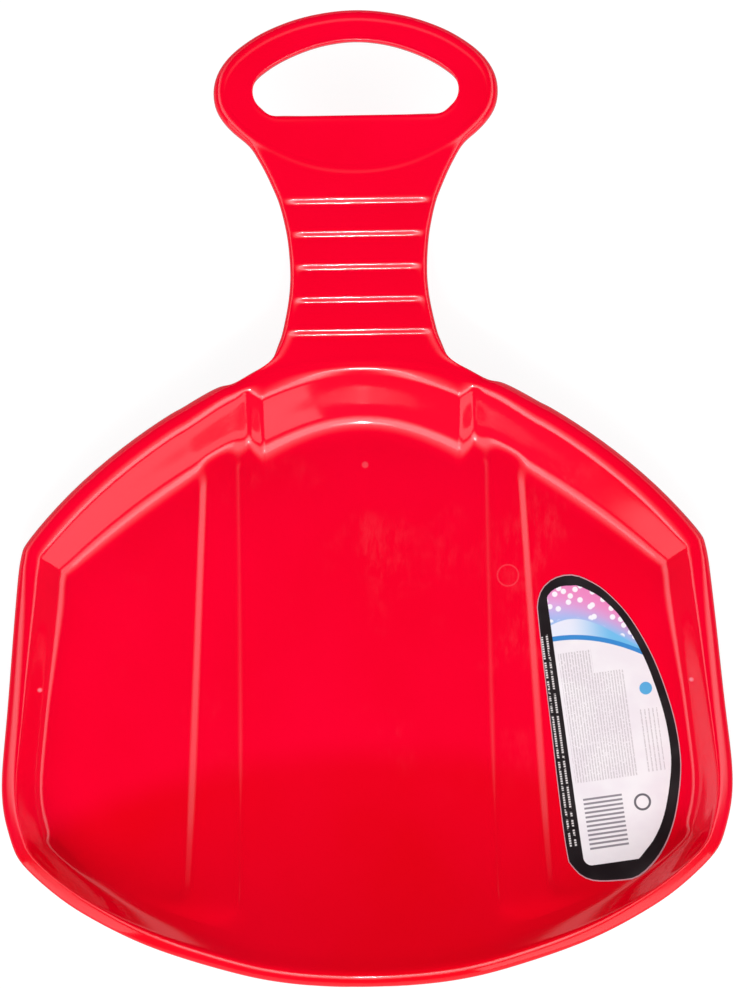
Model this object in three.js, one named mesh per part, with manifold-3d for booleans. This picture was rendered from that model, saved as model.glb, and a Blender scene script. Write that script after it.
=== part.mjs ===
// A child's snow slider: one moulded plastic shell with a seat pan, a neck and a hand grip, and the printed label
// stuck to the pan's floor. Millimetres. +Y points to the grip, +X to the rider's right, +Z up, and the floor's
// underside lies at zero height.
//
// The shell is a sheet of one thickness with a lip turned down all round. It is made as the space under its top
// face less the space under its lower face.

import * as THREE from 'three';
import Module from 'manifold-3d';

const wasm = await Module();
wasm.setup();

// Whole sled. Its length is the sum of the pan, the neck and the grip, less what they share.
const overallHeight = 68;
const wall = 2.6;
const lipDepth = 8;
const rimRound = 2;
const rimDrop = 4;

// Pan: rim heights, rim widths and wall runs at the front, the front bend, the side, the rear corner and the
// middle of the rear
const panWidth = 427;
const panLength = 370;
const frontArcRadius = 163;
const rimHeights = { front: 30.5, bend: 18, side: 20, corner: 25, rear: 35 };
const rimWidths = { front: 9.8, bend: 10.5, side: 9.5, corner: 8.5, rear: 8 };
const wallRuns = { front: 38.5, bend: 22, side: 15.5, corner: 15.5, rear: 130 };

// Middle panel of the front wall, which stands proud of the wall beside it
const panelWidth = 116;
const panelStep = 8;
const panelRims = { middle: 13.5, end: 15.5 };
const panelRuns = { middle: 36.5, end: 44 };

// Two raised bands along the floor
const bandHeight = 4;
const bandFrontWidth = 12.5;
const bandRearWidth = 25;
const bandFrontPlace = 77;
const bandRearPlace = 79;
const bandFrontSlope = 8;
const bandRearSlope = 7.5;
const bandOuterSlope = 6.5;
const bandEndSlope = 10;
const bandEndGap = 33.5;
const bandEndSkew = 9;
const bandFrontGap = 57;
const bandFrontSkew = 10;

// Neck
const waistWidth = 77.4;
const neckLength = 137;
const neckIntoGrip = 20.3;
const neckRootGap = 19.2;
const neckRound = 4.5;
const stepCount = 5;
const stepPitch = 18.7;
const stepDepth = 1.6;
const stepFace = 3;
const stepMargin = 5.2;
const firstStepPlace = 28.7;

// Grip and hand hole
const gripWidth = 163;
const gripDepth = 94.5;
const gripRise = 1;
const gripRound = 5;
const holeWidth = 117;
const holeDepth = 41;
const holeRound = 1.5;
const gripBarWidth = 18.3;

// Label
const labelWidth = 83;
const labelLength = 179;
const labelSideGap = 28.9;
const labelEnd = 57.5;
const labelThickness = 0.25;
const labelGap = 0.3;

// Cuts run past what they cut by this much
const overrun = 10;

// Degrees
const fullTurn = 360;

const overallLength = panLength - neckRootGap + neckLength - neckIntoGrip + gripDepth;
const rearEnd = -overallLength / 2;
const gripTip = overallLength / 2;
const panFront = rearEnd + panLength;
const base = -wall - overrun;

const panPlaces = ['front', 'bend', 'side', 'corner', 'rear'];

// Right half of the pan's outline from the front wall's straight part to the middle of the rear: place across and
// along, then the turn of the section there in degrees from straight back, and its place in the list above.
const outlineShares = [
  [0.375, 0.946, 3, 0.02],
  [0.457, 0.92, 10, 0.19],
  [0.632, 0.857, 23.5, 0.33],
  [0.768, 0.794, 34, 0.52],
  [0.886, 0.732, 45, 0.78],
  [0.923, 0.7, 53, 0.95],
  [0.94, 0.668, 61, 1],
  [0.95, 0.625, 72, 1.1],
  [0.96, 0.574, 79, 1.4],
  [0.98, 0.448, 84, 2],
  [1, 0.322, 90, 2.4],
  [0.987, 0.259, 104, 2.8],
  [0.943, 0.196, 124, 3],
  [0.817, 0.134, 149, 3.2],
  [0.615, 0.072, 159, 3.59],
  [0.367, 0.0255, 168, 3.86],
  [0, 0, 180, 4],
];

// A wall from its top edge to the floor: run, then height of a steep wall and of the swept rear
const wallShares = [
  [0, 1, 1],
  [0.07, 0.94, 0.865],
  [0.18, 0.8, 0.672],
  [0.5, 0.365, 0.25],
  [0.64, 0.19, 0.13],
  [0.78, 0.075, 0.048],
  [0.9, 0.02, 0.01],
  [1, 0, 0],
];

// Right side of the neck from the pan to the grip: half width and place along
const neckShares = [
  [1.964, 0],
  [1.584, 0.049],
  [1.357, 0.091],
  [1.2, 0.16],
  [1.09, 0.265],
  [1.015, 0.383],
  [1, 0.465],
  [1.023, 0.585],
  [1.106, 0.713],
  [1.253, 0.834],
  [1.442, 0.935],
  [1.6, 1],
];

// Right half of the grip's outline from its rear to its tip
const gripShares = [
  [0, 0],
  [0.37, 0.043],
  [0.73, 0.185],
  [0.835, 0.254],
  [0.93, 0.337],
  [0.985, 0.418],
  [1, 0.518],
  [0.985, 0.598],
  [0.95, 0.66],
  [0.887, 0.732],
  [0.78, 0.804],
  [0.64, 0.876],
  [0.416, 0.949],
  [0.2, 0.987],
  [0, 1],
];

// Right half of the hand hole from its straight rear edge to its front
const holeShares = [
  [0.8, 0],
  [0.887, 0.06],
  [0.96, 0.16],
  [1, 0.33],
  [0.96, 0.5],
  [0.81, 0.67],
  [0.58, 0.83],
  [0.31, 0.95],
  [0, 1],
];

// Label outline, anticlockwise from its rear left corner
const labelShares = [
  [0.17, 0.11],
  [0.22, 0.04],
  [0.34, 0.002],
  [0.54, 0],
  [0.69, 0.015],
  [0.85, 0.086],
  [0.95, 0.19],
  [1, 0.335],
  [0.99, 0.447],
  [0.935, 0.569],
  [0.82, 0.721],
  [0.66, 0.855],
  [0.5, 0.939],
  [0.38, 0.978],
  [0.257, 1],
  [0.14, 0.993],
  [0.05, 0.964],
  [0.004, 0.918],
  [0.005, 0.852],
  [0.077, 0.521],
];

// A rounded edge: inset and drop
const roundShares = [
  [0, 1],
  [0.29, 0.29],
  [1, 0],
];

// Crown of the rim: how far in it lies, and how far it has dropped from the inner edge
const crownShare = 0.6;
const crownDropShare = 0.3;

const mix = (a, b, share) => a + (b - a) * share;

// A value between the named places of a size, where 0 is the first place
function atPlace(sizes, place) {
  const first = Math.min(Math.floor(place), panPlaces.length - 2);
  return mix(sizes[panPlaces[first]], sizes[panPlaces[first + 1]], place - first);
}

// Triangles of a closed loop seen from above. A long loop is joined across, from one side to the other.
function capOf(ring, across) {
  if (!across) {
    return THREE.ShapeUtils.triangulateShape(ring.map((p) => new THREE.Vector2(p.x, p.y)), []);
  }
  const last = ring.length - 1;
  const faces = [];
  for (let i = 0; 2 * i < last - 1; i += 1) {
    faces.push([i, i + 1, last - i - 1], [i, last - i - 1, last - i]);
  }
  return faces;
}

// A closed solid through rings of the same count, each anticlockwise from above, the lowest first
function loft(rings, across = false) {
  const count = rings[0].length;
  const faces = [];
  for (let level = 0; level < rings.length - 1; level += 1) {
    for (let i = 0; i < count; i += 1) {
      const a = level * count + i;
      const b = level * count + ((i + 1) % count);
      faces.push(a, b, b + count, a, b + count, a + count);
    }
  }
  const top = (rings.length - 1) * count;
  capOf(rings[0], across).forEach(([a, b, c]) => faces.push(a, c, b));
  capOf(rings.at(-1), across).forEach(([a, b, c]) => faces.push(top + a, top + b, top + c));
  return new wasm.Manifold(new wasm.Mesh({
    numProp: 3,
    vertProperties: new Float32Array(rings.flat().flatMap((p) => p.toArray())),
    triVerts: new Uint32Array(faces),
  }));
}

function geometryOf(solid) {
  const { vertProperties, triVerts } = solid.getMesh();
  const geometry = new THREE.BufferGeometry();
  geometry.setAttribute('position', new THREE.BufferAttribute(vertProperties, 3));
  geometry.setIndex(new THREE.BufferAttribute(triVerts, 1));
  return geometry;
}

function named(name, solid, material) {
  const mesh = new THREE.Mesh(geometryOf(solid), material);
  mesh.name = name;
  return mesh;
}

const mirrored = (points) => points.map((p) => new THREE.Vector3(-p.x, p.y, p.z)).reverse();

// Points moved sideways by a distance, to the left of their run
function moved(points, distance, closed) {
  const last = points.length - 1;
  return points.map((p, i) => {
    const before = points[i > 0 ? i - 1 : closed ? last : 0];
    const after = points[i < last ? i + 1 : closed ? 0 : last];
    const run = new THREE.Vector2(after.x - before.x, after.y - before.y).normalize();
    return new THREE.Vector3(p.x - run.y * distance, p.y + run.x * distance, p.z);
  });
}

const levelled = (points, heightAt) => points.map((p) => new THREE.Vector3(p.x, p.y, heightAt(p)));

// Spokes round the pan. Each has its outer point, its direction inwards, and the sizes of the section along it.
function spoke(x, y, degrees, sizes) {
  const turn = THREE.MathUtils.degToRad(degrees);
  return { x, y, inX: -Math.sin(turn), inY: -Math.cos(turn), ...sizes };
}

const frontArc = (x) => panFront - (x * x) / (2 * frontArcRadius);

// Place across the panel at a share of its half width, and the panel's sizes there
const panelX = (share) => (panelWidth / 2) * share;
const panelSize = (sizes, share) => mix(sizes.middle, sizes.end, share * share);
const panelSharesAcross = [1, 0.75, 0.5, 0.25, 0, -0.25, -0.5, -0.75, -1];

const panelSpokes = panelSharesAcross.map((share) => spoke(panelX(share), frontArc(panelX(share)), 0, {
  rim: panelSize(panelRims, share),
  run: panelSize(panelRuns, share),
  height: rimHeights.front,
  swept: 0,
}));

function sideSpokes() {
  const startX = panelWidth / 2 + panelStep;
  const right = [new THREE.Vector3(startX, frontArc(startX), 0)];
  const turns = [new THREE.Vector3(0, 0, 0)];
  for (const [across, along, degrees, place] of outlineShares) {
    right.push(new THREE.Vector3((panWidth / 2) * across, rearEnd + panLength * along, 0));
    turns.push(new THREE.Vector3(degrees, place, 0));
  }
  const leftTurns = turns.slice(0, -1).reverse().map((t) => new THREE.Vector3(fullTurn - t.x, t.y, 0));
  const outline = new THREE.CatmullRomCurve3([...right, ...mirrored(right).slice(1)]);
  const aims = new THREE.CatmullRomCurve3([...turns, ...leftTurns]);
  const samples = 2 * (outline.points.length - 1);
  return outline.getPoints(samples).map((p, i) => {
    const aim = aims.getPoint(i / samples);
    const place = THREE.MathUtils.clamp(aim.y, 0, panPlaces.length - 1);
    return spoke(p.x, p.y, aim.x, {
      rim: atPlace(rimWidths, place),
      run: atPlace(wallRuns, place),
      height: atPlace(rimHeights, place),
      swept: THREE.MathUtils.clamp(place - panPlaces.indexOf('side'), 0, 1),
    });
  });
}

const panSpokes = [...panelSpokes, ...sideSpokes().reverse()];

// The section along a spoke, from the outer edge inwards: distance in and height of the top face
function topSection({ rim, run, height, swept }) {
  const edge = height - rimDrop;
  const round = roundShares.map(([inset, drop]) => [rimRound * inset, edge - rimRound * drop]);
  const crown = [rim * crownShare, height - rimDrop * crownDropShare];
  const slope = wallShares.map(([along, steep, gentle]) => (
    [rim + run * along, wall + (height - wall) * mix(steep, gentle, swept)]));
  return [...round, crown, ...slope];
}

// The lower face lies one wall thickness below the top face, and the lip hangs at the outer edge
function lowerSection(size) {
  const top = topSection(size).slice(roundShares.length - 1);
  const lip = size.height - rimDrop - lipDepth;
  const under = top.map(([inward, height], i) => {
    const [nextInward, nextHeight] = top[Math.min(i + 1, top.length - 1)];
    const slope = (nextHeight - height) / Math.max(nextInward - inward, wall);
    return [Math.max(inward, wall), height - wall * Math.hypot(1, slope)];
  });
  return [[-overrun, base - overrun], [-overrun, lip], [wall, lip], ...under];
}

function panSolid(sectionOf) {
  const sections = panSpokes.map(sectionOf);
  return loft(sections[0].map((_, level) => panSpokes.map((s, i) => {
    const [inward, height] = sections[i][level];
    return new THREE.Vector3(s.x + s.inX * inward, s.y + s.inY * inward, height);
  })));
}

const plainPan = panSolid((size) => [[0, base], ...topSection(size)]);
const panUnder = panSolid(lowerSection);

// Height of the pan's top face at a place
const panFace = new THREE.Mesh(geometryOf(plainPan));
const probe = new THREE.Raycaster();
const down = new THREE.Vector3(0, 0, -1);
function panHeight(x, y) {
  probe.set(new THREE.Vector3(x, y, overallHeight), down);
  return probe.intersectObject(panFace)[0].point.z;
}

// A raised band, or the channel under it. The rings are its foot and its top, with the outer side first. The
// front end runs on into the front wall, or stops at it.
const flatPlace = rearEnd + panLength / 2;
const bandStations = 16;
const bandStationPower = 1.5;

function bandLoop(spread, raise, forward) {
  const outer = [];
  const inner = [];
  for (let i = 0; i <= bandStations; i += 1) {
    const back = 1 - (i / bandStations) ** bandStationPower;
    const place = mix(bandFrontPlace, bandRearPlace, back * back);
    const width = mix(bandFrontWidth, bandRearWidth, back);
    const frontY = panFront - bandFrontGap + forward;
    const rearY = rearEnd + bandEndGap + bandEndSlope - spread.end;
    const floorAt = (x, y) => new THREE.Vector3(x, y, (y > flatPlace ? wall : panHeight(x, y)) + raise);
    const innerX = place - mix(spread.frontInner, spread.rearInner, back);
    inner.unshift(floorAt(innerX, mix(frontY, rearY, back)));
    outer.push(floorAt(place + width + spread.outer, mix(frontY - bandFrontSkew, rearY + bandEndSkew, back)));
  }
  return [...outer, ...inner];
}

function bandSolid(bottom, topRaise, footRaise, inset, forward) {
  const shift = (slope) => inset * Math.tan(Math.atan2(bandHeight, slope) / 2);
  const top = {
    frontInner: -shift(bandFrontSlope),
    rearInner: -shift(bandRearSlope),
    outer: -shift(bandOuterSlope),
    end: -shift(bandEndSlope),
  };
  const foot = {
    frontInner: top.frontInner + bandFrontSlope,
    rearInner: top.rearInner + bandRearSlope,
    outer: top.outer + bandOuterSlope,
    end: top.end + bandEndSlope,
  };
  const footLoop = bandLoop(foot, footRaise, forward);
  const right = [levelled(footLoop, () => bottom), footLoop, bandLoop(top, topRaise, forward)];
  return loft(right, true).add(loft(right.map(mirrored), true));
}

const sink = wall / 2;
const bands = bandSolid(base, bandHeight, -sink, 0, overrun);
const bandChannels = bandSolid(base - overrun, bandHeight - wall, -wall - sink, wall, 0);
const pan = plainPan.add(bands);

// Neck and grip rise in one plane from the top edge of the front wall to the tip of the grip
const neckFoot = panFront - panelRims.middle;
const neckSlope = (overallHeight - gripRise - rimHeights.front) / (gripTip - neckFoot);
const neckHeight = (p) => rimHeights.front + (p.y - neckFoot) * neckSlope;

const neckRoot = panFront - neckRootGap;
const neckSide = new THREE.CatmullRomCurve3(neckShares.map(([across, along]) => (
  new THREE.Vector3((waistWidth / 2) * across, neckRoot + neckLength * along, 0))));

function neckLoop(inset, rimShare) {
  const right = moved(neckSide.getPoints(2 * (neckShares.length - 1)), inset);
  const root = panelSharesAcross.toReversed().map((share) => (
    new THREE.Vector3(panelX(share), frontArc(panelX(share)) - panelSize(panelRims, share) * rimShare, 0)));
  return [...right, ...mirrored(right), ...root];
}

// A raised body with a rounded top edge, and the hollow under it, from the loop that its outline makes
function rounded(loopAt, height, round) {
  const edge = roundShares.map(([inset, drop]) => levelled(loopAt(round * inset), (p) => height(p) - round * drop));
  return loft([levelled(loopAt(0), () => base), ...edge]);
}

function hollow(loopAt, height, round) {
  const lip = (p) => height(p) - round - lipDepth;
  const inner = round - wall;
  const roof = roundShares.map(([inset, drop]) => (
    levelled(loopAt(wall + inner * inset), (p) => height(p) - wall - inner * drop)));
  const outside = loopAt(-overrun);
  return loft([
    levelled(outside, () => base - overrun),
    levelled(outside, lip),
    levelled(loopAt(wall), lip),
    ...roof,
  ]);
}

// Stairs across the neck: before each step's edge lies its short steep face, and the tread before that sinks
// towards the face's foot
function stepCut(depthBelow, margin) {
  const low = [[neckRoot + firstStepPlace - stepPitch, 0]];
  for (let i = 0; i < stepCount; i += 1) {
    const edge = neckRoot + firstStepPlace + stepPitch * i;
    low.push([edge - stepFace, stepDepth], [edge, 0]);
  }
  const ringAt = (x) => [
    ...low.map(([y, depth]) => new THREE.Vector3(x, y, neckHeight({ y }) - depth - depthBelow)),
    ...low.toReversed().map(([y]) => new THREE.Vector3(x, y, neckHeight({ y }) + overrun - depthBelow)),
  ];
  const mask = neckLoop(margin, 1);
  return loft([ringAt(-waistWidth), ringAt(waistWidth)], true)
    .intersect(loft([levelled(mask, () => 0), levelled(mask, () => overallHeight + overrun)]));
}

const neck = rounded((inset) => neckLoop(inset, 1), neckHeight, neckRound).subtract(stepCut(0, stepMargin));
const neckHollow = hollow((inset) => neckLoop(inset, 0.5), neckHeight, neckRound)
  .subtract(stepCut(wall, stepMargin - wall));

const gripHeight = (p) => neckHeight(p) + gripRise;

const gripSide = gripShares.map(([across, along]) => (
  new THREE.Vector3((gripWidth / 2) * across, gripTip - gripDepth * (1 - along), 0)));
const gripCurve = new THREE.CatmullRomCurve3([...gripSide, ...mirrored(gripSide).slice(1, -1)], true);
const gripLoop = (inset) => moved(gripCurve.getPoints(2 * gripCurve.points.length).slice(1), inset, true);

const holeRear = gripTip - gripBarWidth - holeDepth;
const holeSide = holeShares.map(([across, along]) => (
  new THREE.Vector3((holeWidth / 2) * across, holeRear + holeDepth * along, 0)));
const holeCurve = new THREE.CatmullRomCurve3([...holeSide, ...mirrored(holeSide).slice(1)]);
const holeLoop = (spread) => moved(holeCurve.getPoints(2 * (holeCurve.points.length - 1)), -spread, true);

const handHole = loft([
  levelled(holeLoop(0), () => base - overrun),
  levelled(holeLoop(0), (p) => gripHeight(p) - holeRound),
  levelled(holeLoop(holeRound), gripHeight),
  levelled(holeLoop(holeRound), (p) => gripHeight(p) + overrun),
]);
const holeCollar = loft([
  levelled(holeLoop(wall), (p) => gripHeight(p) - gripRound - lipDepth),
  levelled(holeLoop(wall), (p) => gripHeight(p) + overrun),
]);
const grip = rounded(gripLoop, gripHeight, gripRound);
const gripHollow = hollow(gripLoop, gripHeight, gripRound).subtract(holeCollar);

const shell = pan.add(neck).add(grip).subtract(handHole)
  .subtract(panUnder.add(bandChannels).add(neckHollow).add(gripHollow));

// The label lies over the floor, at its right side, and bends up with it at the rear
const labelPlace = panWidth / 2 - labelSideGap - labelWidth;
const labelCurve = new THREE.CatmullRomCurve3(labelShares.map(([across, along]) => (
  new THREE.Vector3(labelPlace + labelWidth * across, rearEnd + labelEnd + labelLength * along, 0))), true);
const labelLoop = labelCurve.getPoints(2 * labelShares.length).slice(1);
const labelBlock = loft([levelled(labelLoop, () => 0), levelled(labelLoop, () => overallHeight)]);
const label = pan.translate([0, 0, labelGap + labelThickness])
  .subtract(pan.translate([0, 0, labelGap]))
  .intersect(labelBlock);

const plastic = new THREE.MeshStandardMaterial({ color: 0xe4001b, roughness: 0.22, metalness: 0 });
const paper = new THREE.MeshStandardMaterial({ color: 0xf6eef3, roughness: 0.35, metalness: 0 });

const sled = new THREE.Group();
sled.add(named('sled_shell', shell, plastic));
sled.add(named('label', label, paper));

export default sled;
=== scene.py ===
import math

import bmesh
import bpy
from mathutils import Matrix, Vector


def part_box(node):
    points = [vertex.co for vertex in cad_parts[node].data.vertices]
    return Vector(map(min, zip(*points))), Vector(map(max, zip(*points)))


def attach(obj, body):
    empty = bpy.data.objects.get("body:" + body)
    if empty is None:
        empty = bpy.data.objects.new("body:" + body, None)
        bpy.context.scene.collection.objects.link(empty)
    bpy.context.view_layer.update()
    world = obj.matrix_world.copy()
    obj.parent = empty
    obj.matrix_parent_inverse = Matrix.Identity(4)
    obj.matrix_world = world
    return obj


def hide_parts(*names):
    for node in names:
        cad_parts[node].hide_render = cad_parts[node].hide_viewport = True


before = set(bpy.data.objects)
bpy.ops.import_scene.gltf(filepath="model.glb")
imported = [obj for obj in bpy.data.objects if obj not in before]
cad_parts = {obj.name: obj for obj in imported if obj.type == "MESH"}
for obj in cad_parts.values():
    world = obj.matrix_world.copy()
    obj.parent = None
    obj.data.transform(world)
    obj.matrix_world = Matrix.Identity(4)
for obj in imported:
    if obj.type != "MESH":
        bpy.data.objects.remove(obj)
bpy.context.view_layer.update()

# Lengths are written in millimetres and turned to metres by this
MM = 0.001

# Whole sled
shell_low, shell_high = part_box("sled_shell")
half_width = shell_high.x / MM
grip_tip = shell_high.y / MM
rear_end = shell_low.y / MM
overall_height = 68
wall = 2.6
lip_depth = 8

# Pan
pan_length = 370
pan_front = rear_end + pan_length
front_arc_radius = 163

# Sizes of the rim and the wall at the five places of the outline
rim_heights = {"front": 30.5, "bend": 18, "side": 20, "corner": 25, "rear": 35}
rim_widths = {"front": 9.8, "bend": 10.5, "side": 9.5, "corner": 8.5, "rear": 8}
wall_runs = {"front": 38.5, "bend": 22, "side": 15.5, "corner": 15.5, "rear": 15.5}

# The wall's run past the rear corner, and how the rim changes from front to side to rear
rear_wall_run = 14.5
rim_drop = 4
rim_round = 2.6
front_rim_gain = 1.6
rear_rim_start = 0.88
rear_rim_span = 0.12
rear_wall_power = 6

# A smoothed edge is drawn in by a sixth of its bend, so it's set out by as much before
smoothing_pull = 6
most_set_out = 0.8

# The floor's sweep up to the rear: where it starts, where it meets the rim in the middle and at the side
sweep_start = -143
sweep_bend = 0.00255
sweep_unbend = 0.000000028
sweep_ends = (-273, -225)
sweep_half = 174
sweep_end_power = 2.15
least_sweep = 8
most_rise = 1.02
rear_corner_half = 195

# Middle panel of the front wall
panel_half = 58
panel_rims = (13.5, 15.5)
panel_runs = (36.5, 44)

# Raised bands
band_height = 3.5

# Neck
waist_half = 38.7
shoulder_half = 72
neck_root = pan_front - 19.2
neck_length = 137
neck_round = 1.8
step_count = 5
step_pitch = 18.7
step_depth = 1.6
step_face = 3
first_step = neck_root + 30.5

# Grip and hand hole
grip_half = 81.5
grip_depth = 94.5
grip_rise = 0.6
grip_dish = 0.5
grip_round = 3.2
hole_half = 58.5
hole_depth = 41
hole_round = 1.5
grip_bar = 18.3
hole_rear = grip_tip - grip_bar - hole_depth

PLACES = ["front", "bend", "side", "corner", "rear"]

# Right half of the pan's outline: shares across and along, turn of the section, and its place in that list
OUTLINE_SHARES = [
    (0.309, 0.9638, 0, 0), (0.375, 0.946, 3, 0.02), (0.457, 0.92, 10, 0.19), (0.632, 0.857, 23.5, 0.33),
    (0.768, 0.794, 34, 0.52), (0.886, 0.732, 45, 0.78), (0.923, 0.7, 53, 0.95), (0.94, 0.668, 61, 1),
    (0.95, 0.625, 72, 1.1), (0.96, 0.574, 79, 1.4), (0.98, 0.448, 84, 2), (1, 0.322, 90, 2.4),
    (0.987, 0.259, 104, 2.8), (0.943, 0.196, 124, 3), (0.817, 0.134, 149, 3.2), (0.615, 0.072, 159, 3.59),
    (0.367, 0.0255, 168, 3.86), (0.19, 0.0064, 174.5, 3.94), (0, 0, 180, 4),
]

# A steep wall at each share of its run, from the foot up: share of its height
WALL_SHARES = [(0.9, 0.018), (0.78, 0.065), (0.64, 0.17), (0.5, 0.325), (0.2, 0.73), (0.08, 0.88), (0, 0.945)]

# The rim from its crown out to its edge: inset in shares of its width, and drop in shares of rim_drop
RIM_SHARES = [(0.6, 0), (0.13, 0.15), (0.02, 0.65)]
REAR_RIM_SHARES = [(0.74, 0), (0.27, 0.58), (0.06, 1.12)]
SIDE_RIM_SHARES = [(0.9, 0.12), (0.5, 0.6), (0.08, 1.1)]

# Right halves of the outlines of the neck, the grip and the hand hole: shares across and along
NECK_SHARES = [
    (1.964, 0), (1.584, 0.049), (1.357, 0.091), (1.2, 0.16), (1.09, 0.265), (1.015, 0.383),
    (1, 0.465), (1.023, 0.585), (1.106, 0.713), (1.253, 0.834), (1.442, 0.935), (1.6, 1),
]
GRIP_SHARES = [
    (0, 0), (0.37, 0.043), (0.73, 0.185), (0.835, 0.254), (0.93, 0.337), (0.985, 0.418), (1, 0.518),
    (0.985, 0.598), (0.95, 0.66), (0.887, 0.732), (0.78, 0.804), (0.64, 0.876), (0.416, 0.949), (0.2, 0.987),
    (0, 1),
]
HOLE_SHARES = [
    (0, 0), (0.4, 0), (0.62, 0), (0.74, 0), (0.8, 0.008), (0.85, 0.03), (0.9, 0.075), (0.96, 0.165),
    (0.99, 0.25), (1, 0.34), (0.96, 0.5), (0.81, 0.67), (0.58, 0.83), (0.31, 0.95), (0, 1),
]
SOLVE_STEPS = 40


def mix(a, b, share):
    return a + (b - a) * share


def clamp(value, low=0.0, high=1.0):
    return max(low, min(high, value))


def curve_at(points, place):
    """A smooth curve through rows of numbers, where place 2.5 is halfway between rows 2 and 3."""
    last = len(points) - 1
    first = min(int(place), last - 1)
    t = place - first
    before, a, b, after = (points[clamp(first + k, 0, last)] for k in (-1, 0, 1, 2))
    return [0.5 * (2 * q + (r - p) * t + (2 * p - 5 * q + 4 * r - s) * t * t
                   + (3 * q - p - 3 * r + s) * t ** 3)
            for p, q, r, s in zip(before, a, b, after)]


def at_place(sizes, place):
    """A size of the rim or wall at a place between two of the named ones."""
    first = min(int(place), len(PLACES) - 2)
    return mix(sizes[PLACES[first]], sizes[PLACES[first + 1]], place - first)


def solve(value_at, target, low, high):
    """The place between low and high where a rising or falling value meets its target."""
    rising = value_at(high) > value_at(low)
    for _ in range(SOLVE_STEPS):
        middle = (low + high) / 2
        if (value_at(middle) < target) == rising:
            low = middle
        else:
            high = middle
    return (low + high) / 2


def front_arc(x):
    return pan_front - x * x / (2 * front_arc_radius)


class Spoke:
    """One section of the pan's wall and rim, from its outer point inwards."""

    def __init__(self, x, y, turn, rim, run, height, swept=0.0):
        self.outer = Vector((x, y))
        self.inwards = Vector((-math.sin(math.radians(turn)), -math.cos(math.radians(turn))))
        self.rim, self.run, self.height, self.swept = rim, run, height, swept

    def point(self, inset):
        return self.outer + self.inwards * inset


def panel_spoke(x):
    share = (x / panel_half) ** 2
    rim, run = mix(*panel_rims, share), mix(*panel_runs, share)
    return Spoke(x, front_arc(x), 0, rim, run, rim_heights["front"])


def side_spoke(place_along):
    across, along, turn, place = curve_at(OUTLINE_SHARES, place_along)
    place = clamp(place, 0, len(PLACES) - 1)
    run = at_place(wall_runs, place) if place <= PLACES.index("corner") else rear_wall_run
    swept = clamp(place - PLACES.index("side"))
    return Spoke(half_width * across, rear_end + pan_length * along, turn, at_place(rim_widths, place), run,
                 at_place(rim_heights, place), swept)


def side_foot(axis, target, low, high):
    """The spoke whose foot lies at the wanted place across or along."""
    def foot(place_along):
        spoke = side_spoke(place_along)
        return spoke.point(spoke.rim + spoke.run)[axis]
    return side_spoke(solve(foot, target, low, high))


# Columns of the floor from the middle to the right: place at the front, at the bands' rear end and at the
# rear rim, and the share of the band's height that they have
COLUMNS = [
    (0, 0, 0, 0), (22, 22, 20, 0), (42, 45, 38, 0), (55.4, 60, 52, 0), (57.4, 65, 64, 0),
    (65.2, 71, 76, 0.02), (71.4, 75, 87, 0.3), (77, 79, 97, 1), (88, 100.5, 107, 1), (91.5, 104.5, 117, 0.75),
    (95.3, 109.5, 127, 0.25), (98.5, 114, 138, 0), (120, 138, 151, 0), (148, 160, 166, 0), (173.5, 181, 181, 0),
]

# Rows of the floor from the rear to the front wall
ROW_SHARES = [0, 0.037, 0.08, 0.13, 0.2, 0.28, 0.37, 0.46, 0.55, 0.65, 0.75, 0.84, 0.91, 0.955, 0.985, 1]
LAST_COLUMN = len(COLUMNS) - 1
LAST_ROW = len(ROW_SHARES) - 1

# Columns at the foot of a band's inner slope, at the strip beside the front panel, at the top of that slope, and
# at the edge and the foot of the outer side
SLOPE_FOOT, STRIP_EDGE, CREST, BAND_EDGE, BAND_FOOT = 4, 5, 6, 9, 10

# Rows of the outline at which the floor's front and rear corners are
FRONT_BEND = 6.05
REAR_CORNER = 13.0
LAST_PLACE = len(OUTLINE_SHARES) - 1

front_spokes = []
tail_spokes = []
rear_spokes = []
for front_x, tail_x, rear_x, _ in COLUMNS:
    if front_x <= panel_half:
        front_spokes.append(panel_spoke(front_x))
    else:
        front_spokes.append(side_foot(0, front_x, 0, FRONT_BEND))
    tail_spokes.append(side_foot(0, tail_x, REAR_CORNER, LAST_PLACE))
    rear_spokes.append(side_foot(0, rear_x, REAR_CORNER, LAST_PLACE))
front_spokes[-1] = side_spoke(FRONT_BEND)
tail_spokes[-1] = rear_spokes[-1] = side_spoke(REAR_CORNER)


def foot_of(spoke):
    return spoke.point(spoke.rim + spoke.run)


side_ends = foot_of(rear_spokes[-1]).y, foot_of(front_spokes[-1]).y
side_spokes = [side_foot(1, mix(*side_ends, share), REAR_CORNER, FRONT_BEND) for share in ROW_SHARES]
side_spokes[0], side_spokes[-1] = rear_spokes[-1], front_spokes[-1]


def swept_arc(x):
    """Where the floor starts to sweep up towards the rear."""
    return sweep_start - sweep_bend * x * x + sweep_unbend * x ** 4


def rear_rise(x, y):
    """Share of the rear rim's height that the floor has swept up by here."""
    x = abs(x)
    start = swept_arc(x)
    rim = mix(*sweep_ends, (x / sweep_half) ** sweep_end_power)
    return clamp((start - y) / max(start - rim, least_sweep), 0, most_rise) ** 2


def rear_height(x):
    return rim_heights["rear"] - (rim_heights["rear"] - rim_heights["corner"]) * (x / rear_corner_half) ** 2


def floor_height(x, y):
    return wall + (rear_height(x) - wall) * rear_rise(x, y)


def side_of(number):
    return -1 if number < 0 else 1


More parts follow.
